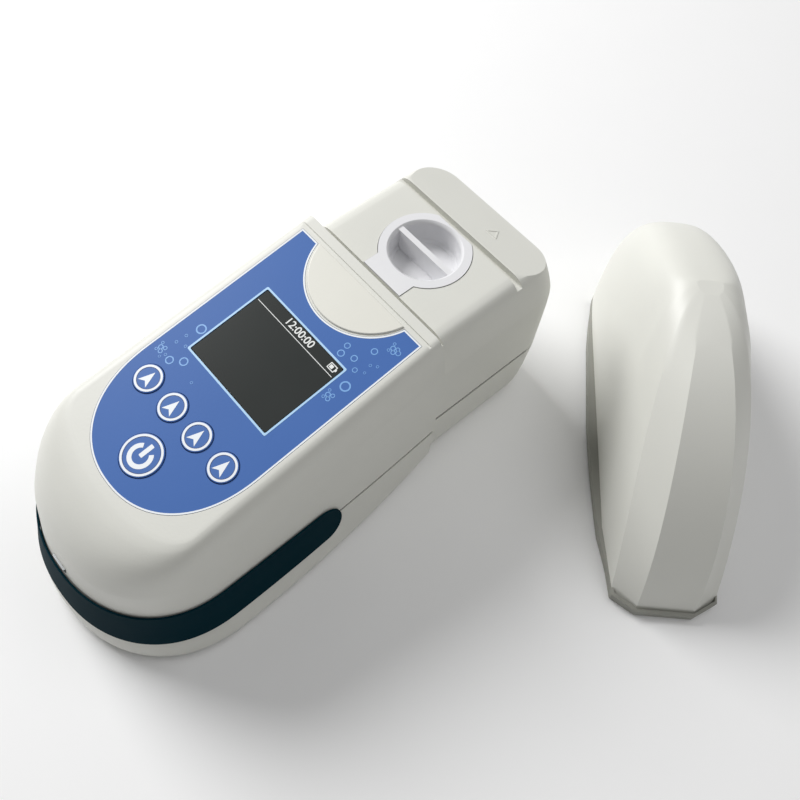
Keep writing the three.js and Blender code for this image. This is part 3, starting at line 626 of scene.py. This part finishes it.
def key_cap(name, body, x, y, sizes, symbol):
    """Blue cap with a printed white ring and a white symbol."""
    radius, proud = sizes["radius"], KEY["proud"]
    stem = ((1.6, -6.4), (1.6, -1.6))
    head = ((radius, -1.6), (radius, proud - 0.35), (radius - 0.12, proud - 0.1), (radius - 0.4, proud))
    rings = [[on_panel(px, py, z) for px, py in circle(r, x, y)] for r, z in (*stem, *head)]
    cap = finish_piece(loft(name + "_look", rings), KEY_BLUE, body, [name])
    white = Print(proud, proud + 0.06)
    white.disc_ring(x, y, radius - 0.42, radius - 1.25, 64)
    symbol(white)
    white.piece(name + "_print", WHITE, body, "keycap")
    outline = Print(proud, proud + 0.03)
    outline.disc_ring(x, y, radius - 1.25, radius - 1.5, 64)
    outline.piece(name + "_outline", NAVY, body, "keycap")
    return cap


def arrow(x):
    """Arrow head pointing to the screen."""
    def draw(sheet):
        sheet.filled([(x, 3.1), (x - 2.25, -2.9), (x, -1.45), (x + 2.25, -2.9)])
    return draw


def power_symbol(sheet):
    """Open ring with a bar in its gap."""
    centre, outer, inner, gap, steps = POWER["y"] - 0.5, 4.7, 3.0, radians(38), 40
    angles = [pi / 2 + gap + (2 * pi - 2 * gap) * i / steps for i in range(steps + 1)]
    arc = [(outer * cos(a), centre + outer * sin(a)) for a in angles]
    arc += [(inner * cos(a), centre + inner * sin(a)) for a in reversed(angles)]
    sheet.filled(arc)
    sheet.filled(rectangle(-0.85, centre - 0.2, 0.85, centre + 5.4, 0.3))


BUBBLES = [  # x, y and radius of the printed rings
    (15.5, 59.5, 1.2), (16.2, 56, 1.4), (20.9, 58.1, 1.3), (24.5, 55.4, 1), (23.7, 65, 1.3),
    (26.8, 60.5, 0.55), (28.9, 62, 0.55), (27, 49, 2), (29.9, 70.6, 1), (27.6, 57.2, 0.5),
    (-25.2, 25.2, 2), (-26.8, 19.7, 0.6), (-27.2, 15.6, 0.6), (-23.5, 17, 0.6), (-19, 13, 1.7),
    (-23, 9.6, 1.6), (-25.8, 9.8, 0.55), (-26.7, 7.8, 0.5), (-10.5, 10.3, 0.55),
]
CLUSTERS = [(27.2, 70.6), (25.3, 42.7), (-29.4, 10.3)]
CLUSTER_RINGS = [(0, 0, 1), (1.5, 0.9, 0.8), (1.2, -1.1, 0.9), (-0.9, 1.5, 0.6), (-0.6, -1.6, 0.6)]


def overlay_prints():
    """White border, pale frame of the window, and bubbles."""
    border = Print(0, 0.06)
    border.ring(overlay_outline(), overlay_outline(-0.6))
    border.piece("overlay_border", WHITE, "tester", "overlay")
    edge = Print(0, 0.08)
    edge.ring(screen_outline(0.75), screen_outline())
    edge.piece("screen_border", SKY, "tester", "overlay")
    bubbles = Print(0, 0.05)
    for x, y, radius in BUBBLES:
        bubbles.disc_ring(x, y, radius, radius * 0.72, 32)
    for x, y in CLUSTERS:
        for dx, dy, radius in CLUSTER_RINGS:
            bubbles.disc_ring(x + dx, y + dy, radius, radius * 0.65, 24)
    bubbles.piece("bubble_print", PALE, "tester", "overlay")


def screen_prints():
    """Clock readout, rule and battery mark, just above the window."""
    marks = Print(GLASS, GLASS + 0.05)
    marks.filled(rectangle(-SCREEN["half"] + 0.9, 47.6, SCREEN["half"] - 0.9, 47.85, 0.05, 1))
    marks.ring(rectangle(16.6, 49, 20, 51.6, 0.2, 2), rectangle(16.95, 49.35, 19.65, 51.25, 0.1, 2))
    marks.filled(rectangle(17.2, 49.6, 18.7, 51, 0.1, 1))
    marks.filled(rectangle(20, 49.8, 20.5, 50.8, 0.1, 1))
    marks.piece("screen_marks", READOUT, "tester", "window")
    curve = bpy.data.curves.new("clock", "FONT")
    curve.body = "12:00:00"
    curve.align_x = "CENTER"
    curve.align_y = "CENTER"
    curve.size = CLOCK["size"]
    curve.extrude = CLOCK["extrude"]
    curve.offset = 0.05
    text = bpy.data.objects.new("clock_readout", curve)
    bpy.context.scene.collection.objects.link(text)
    bpy.context.view_layer.update()
    mesh = bpy.data.meshes.new_from_object(text.evaluated_get(bpy.context.evaluated_depsgraph_get()))
    bpy.data.objects.remove(text)
    for vertex in mesh.vertices:
        x, y, z = vertex.co
        vertex.co = ORIGIN + Vector(on_panel(x, y + CLOCK["y"], z + GLASS + CLOCK["extrude"])) * MM
    readout = bpy.data.objects.new("clock_readout", mesh)
    bpy.context.scene.collection.objects.link(readout)
    finish_piece(readout, READOUT, "tester")


# ------------------------------------------------------------------ plug and tail
def plug_flange(name, grow, low, high):
    """Disc with a square ear to the front, kept between the two grooves."""
    disc = prism(name, circle(PLUG["flange"] + grow, 0, WELL_Y, 144), low, high)
    ear = PLUG["ear"] + grow
    front, rear = GROOVE["front_end"] + GAP - grow, GROOVE["rear"] - GAP + grow
    combine(disc, [block("ear", (-ear, front, low), (ear, WELL_Y, high))], "UNION")
    return combine(disc, [block("limit", (-30, front, low - 1), (30, rear, high + 1))], "INTERSECT")


def well_plug():
    """White plug of the vial well: a cup with a bar across it to pinch."""
    top = DECK + PLUG["proud"]
    floor = DECK - PLUG["depth"]
    plug = plug_flange("well_plug_look", 0, DECK - PLUG["seat"], top)
    combine(plug, [prism("cup", circle(PLUG["cup"], 0, WELL_Y, 144), floor, top - 0.01)], "UNION")
    inner = PLUG["inner"]
    profile = (
        (inner - 1, floor + 1.6), (inner, floor + 2.6), (inner + 0.2, top - 1.6), (inner + 0.5, top - 0.7),
        (inner + 1.2, top - 0.15), (inner + 1.6, top + 0.2),
    )
    hollow = [[(x, y, z) for x, y in circle(r, 0, WELL_Y, 144)] for r, z in profile]
    combine(plug, [loft("hollow", hollow)])
    bar, half = PLUG["bar"] / 2, PLUG["inner"] + 0.9
    combine(plug, [block("bar", (-half, WELL_Y - bar, floor + 1), (half, WELL_Y + bar, top - 0.5))], "UNION")
    return finish_piece(soften(plug, 0.35, 50, 3), INSERT, "plug", ["well_plug"])


def tail_mark():
    """Plain embossed triangle on the sloping tail."""
    c, s = cos(TAIL["angle"]), sin(TAIL["angle"])
    angles = [pi / 2 + 2 * pi * k / 3 for k in range(3)]
    outer = [(TRIANGLE["size"] * cos(angle), TRIANGLE["size"] * sin(angle)) for angle in angles]
    inner = [(x * TRIANGLE["inner"], y * TRIANGLE["inner"]) for x, y in outer]

    def place(x, y, z):
        along = TRIANGLE["y"] - TAIL["start"] + y
        return (x + TRIANGLE["x"], TAIL["start"] + along * c + z * s, DECK - along * s + z * c)

    loops = ((outer, -0.1), (outer, 0.2), (inner, 0.2), (inner, -0.1))
    mark = tube("tail_triangle", [[place(x, y, z) for x, y in loop] for loop, z in loops])
    return finish_piece(mark, HOUSING, "tester")


# ------------------------------------------------------------------ light shield
def shield_plan(s):
    """Plan of the hood at height share s: a flat near wall, two facets on each side of it, straight
    flanks and a rounded far end. It is given in shares of the near or far length and half width."""
    wall, edge, side = (1 - 0.087 * s, 0.487), (0.928 - 0.362 * s, 0.887), (0.63 - 0.42 * s, 1)
    corners = (wall, edge, side, (0, 1))
    flank = [tuple(p + (q - p) * i / 5 for p, q in zip(start, end))
             for start, end in zip(corners, corners[1:]) for i in range(5)]
    power = 2 / (2.6 + 5.3 * (1 - s) ** 2.2)
    steps = 20
    for k in range(steps):
        angle = pi / 2 * k / steps
        flank.append((-sin(angle) ** power, cos(angle) ** power))
    return [(wall[0], 0), *flank, (-1, 0), *[(x, -y) for x, y in reversed(flank)]]


def shield_rings(grow, top, levels=26):
    """Rings of the hood, closer together towards the roof."""
    rings = []
    for i in range(levels + 1):
        s = min(sin(pi / 2 * i / levels), 0.997)
        near = (SHIELD["near"] + grow) * (1 - s ** 2.316) ** 0.523
        far = (SHIELD["far"] + grow) * (1 - s ** 3.627) ** 0.957
        half_width = (SHIELD["width"] / 2 + grow) * (1 - s ** 3.723) ** 0.346
        ring = []
        for x, y in shield_plan(s):
            along = x * (near if x > 0 else far) - SHIELD["lean"] * s
            ring.append(shield_point(along, y * half_width, top * s))
        rings.append(ring)
    return rings


def shield_point(x, y, z):
    """Place of a point given along and across the hood."""
    c, s = cos(SHIELD["turn"]), sin(SHIELD["turn"])
    return (SHIELD_PLACE[0] + c * x - s * y, SHIELD_PLACE[1] + s * x + c * y, z)


def light_shield():
    """Arched hood, open below."""
    wall, crease = SHIELD["wall"], 24
    outer = shield_rings(0, SHIELD["height"])
    inner = shield_rings(-wall, SHIELD["height"] - wall)
    piece = soften(hood("light_shield_look", outer, inner), 0.9, crease, 3)
    return finish_piece(piece, SHIELD_PLASTIC, "shield", ["light_shield"], crease)


def shield_skirt_painted_shade():
    """Low skirt that swells out along the foot of the hood; its darker grey is painted shade for the shadowed
    foot.
    """
    half_width = SHIELD["width"] / 2
    outer, inner = [], []
    for x, y in shield_plan(0):
        swell = SKIRT["swell"] * max(0.0, 1 - (x / 0.8) ** 2) * abs(y) ** 4
        reach = SHIELD["near"] if x > 0 else SHIELD["far"]
        outer.append((x * reach, y * (half_width + swell)))
        inner.append((x * (reach - 1), y * (half_width - 1)))
    low = SKIRT["low"]
    loops = ((inner, low), (outer, low), (outer, SKIRT["outer_top"]), (inner, SKIRT["inner_top"]))
    skirt_with_painted_shade = tube("shield_skirt_painted_shade", [[shield_point(x, y, z) for x, y in loop] for loop, z in loops])
    return finish_piece(skirt_with_painted_shade, SKIRT_PAINTED_SHADE, "shield")


# ------------------------------------------------------------------ the object
front_top_shell()
rear_top_cover()
bottom_shell()
battery_cover()
grip_band()
seam_cords()
overlay()
badge_pad()
overlay_prints()
screen_prints()
for node, key_body, key_x in SOFT_KEYS:
    key_cap(node, key_body, key_x, 0, KEY, arrow(key_x))
key_cap("power_key", "key_power", 0, POWER["y"], POWER, power_symbol)
well_plug()
tail_mark()
light_shield()
shield_skirt_painted_shade()

# surfaces of the solids that show as they are, by the start of their names
NODE_SURFACES = {
    "display_window": WINDOW, "display_module": DARK, "display_frame": METAL,
    "display_board": BOARD, "ribbon_cable": AMBER, "optical_block": DARK, "led_source": AMBER,
    "filter_disc": FILTER, "photodiode": METAL, "source_board": BOARD, "detector_board": BOARD,
    "main_board": BOARD, "controller_chip": DARK, "buzzer": DARK, "charge_port": METAL,
    "battery_cell": SLEEVE, "contact_strip": METAL, "cell_tray": DARK, "foot_": SOFT_PAD,
    "housing_screw": METAL, "soft_switch": DARK, "power_switch": DARK,
}
for node, cad in NODES.items():
    for start, surface in NODE_SURFACES.items():
        if node.startswith(start):
            cad.data.materials.clear()
            cad.data.materials.append(surface)


# ------------------------------------------------------------------ floor, light and camera
def floor():
    bpy.ops.mesh.primitive_plane_add(size=12, location=(0, 0, -0.0003))
    plane = bpy.context.object
    plane.name = "floor"
    plane.data.materials.append(material("floor", (0.95, 0.95, 0.95, 1), 0.75, mottle=0.005))


def area_light(name, place, target, size, power):
    lamp = bpy.data.lights.new(name, "AREA")
    lamp.shape = "DISK"
    lamp.size = size
    lamp.energy = power
    obj = bpy.data.objects.new(name, lamp)
    bpy.context.scene.collection.objects.link(obj)
    obj.location = place
    obj.rotation_euler = (Vector(target) - Vector(place)).to_track_quat("-Z", "Y").to_euler()


def camera():
    """Focal length and pose, with the place in the tester's millimetres."""
    azimuth, elevation, roll = radians(42.54), radians(60.87), radians(-7.31)
    place = Vector((138.39, -44.61, 333.41))
    back = Vector((sin(azimuth) * cos(elevation), -cos(azimuth) * cos(elevation), sin(elevation)))
    right = (-back).cross(Vector((0, 0, 1))).normalized()
    down = (-back).cross(right)
    right, down = cos(roll) * right + sin(roll) * down, cos(roll) * down - sin(roll) * right
    lens = bpy.data.cameras.new("camera")
    lens.lens = 38.25
    lens.sensor_width = 36
    lens.clip_start = 0.01
    obj = bpy.data.objects.new("camera", lens)
    bpy.context.scene.collection.objects.link(obj)
    turn = Matrix((right, -down, back)).transposed()
    obj.matrix_world = Matrix.Translation(ORIGIN + place * MM) @ turn.to_4x4()
    bpy.context.scene.camera = obj


def sky(strength):
    world = bpy.data.worlds.new("world")
    bpy.context.scene.world = world
    world.use_nodes = True
    background = world.node_tree.nodes["Background"]
    background.inputs["Color"].default_value = (1, 1, 1, 1)
    background.inputs["Strength"].default_value = strength


floor()
area_light("key", (-1.15, -0.12, 0.95), (0, 0, 0.03), 0.8, 19.5)
area_light("fill", (0.3, 0.6, 1.5), (0, 0, 0.03), 1.2, 5.5)
sky(0.24)
camera()
bpy.context.scene.view_settings.view_transform = "Standard"
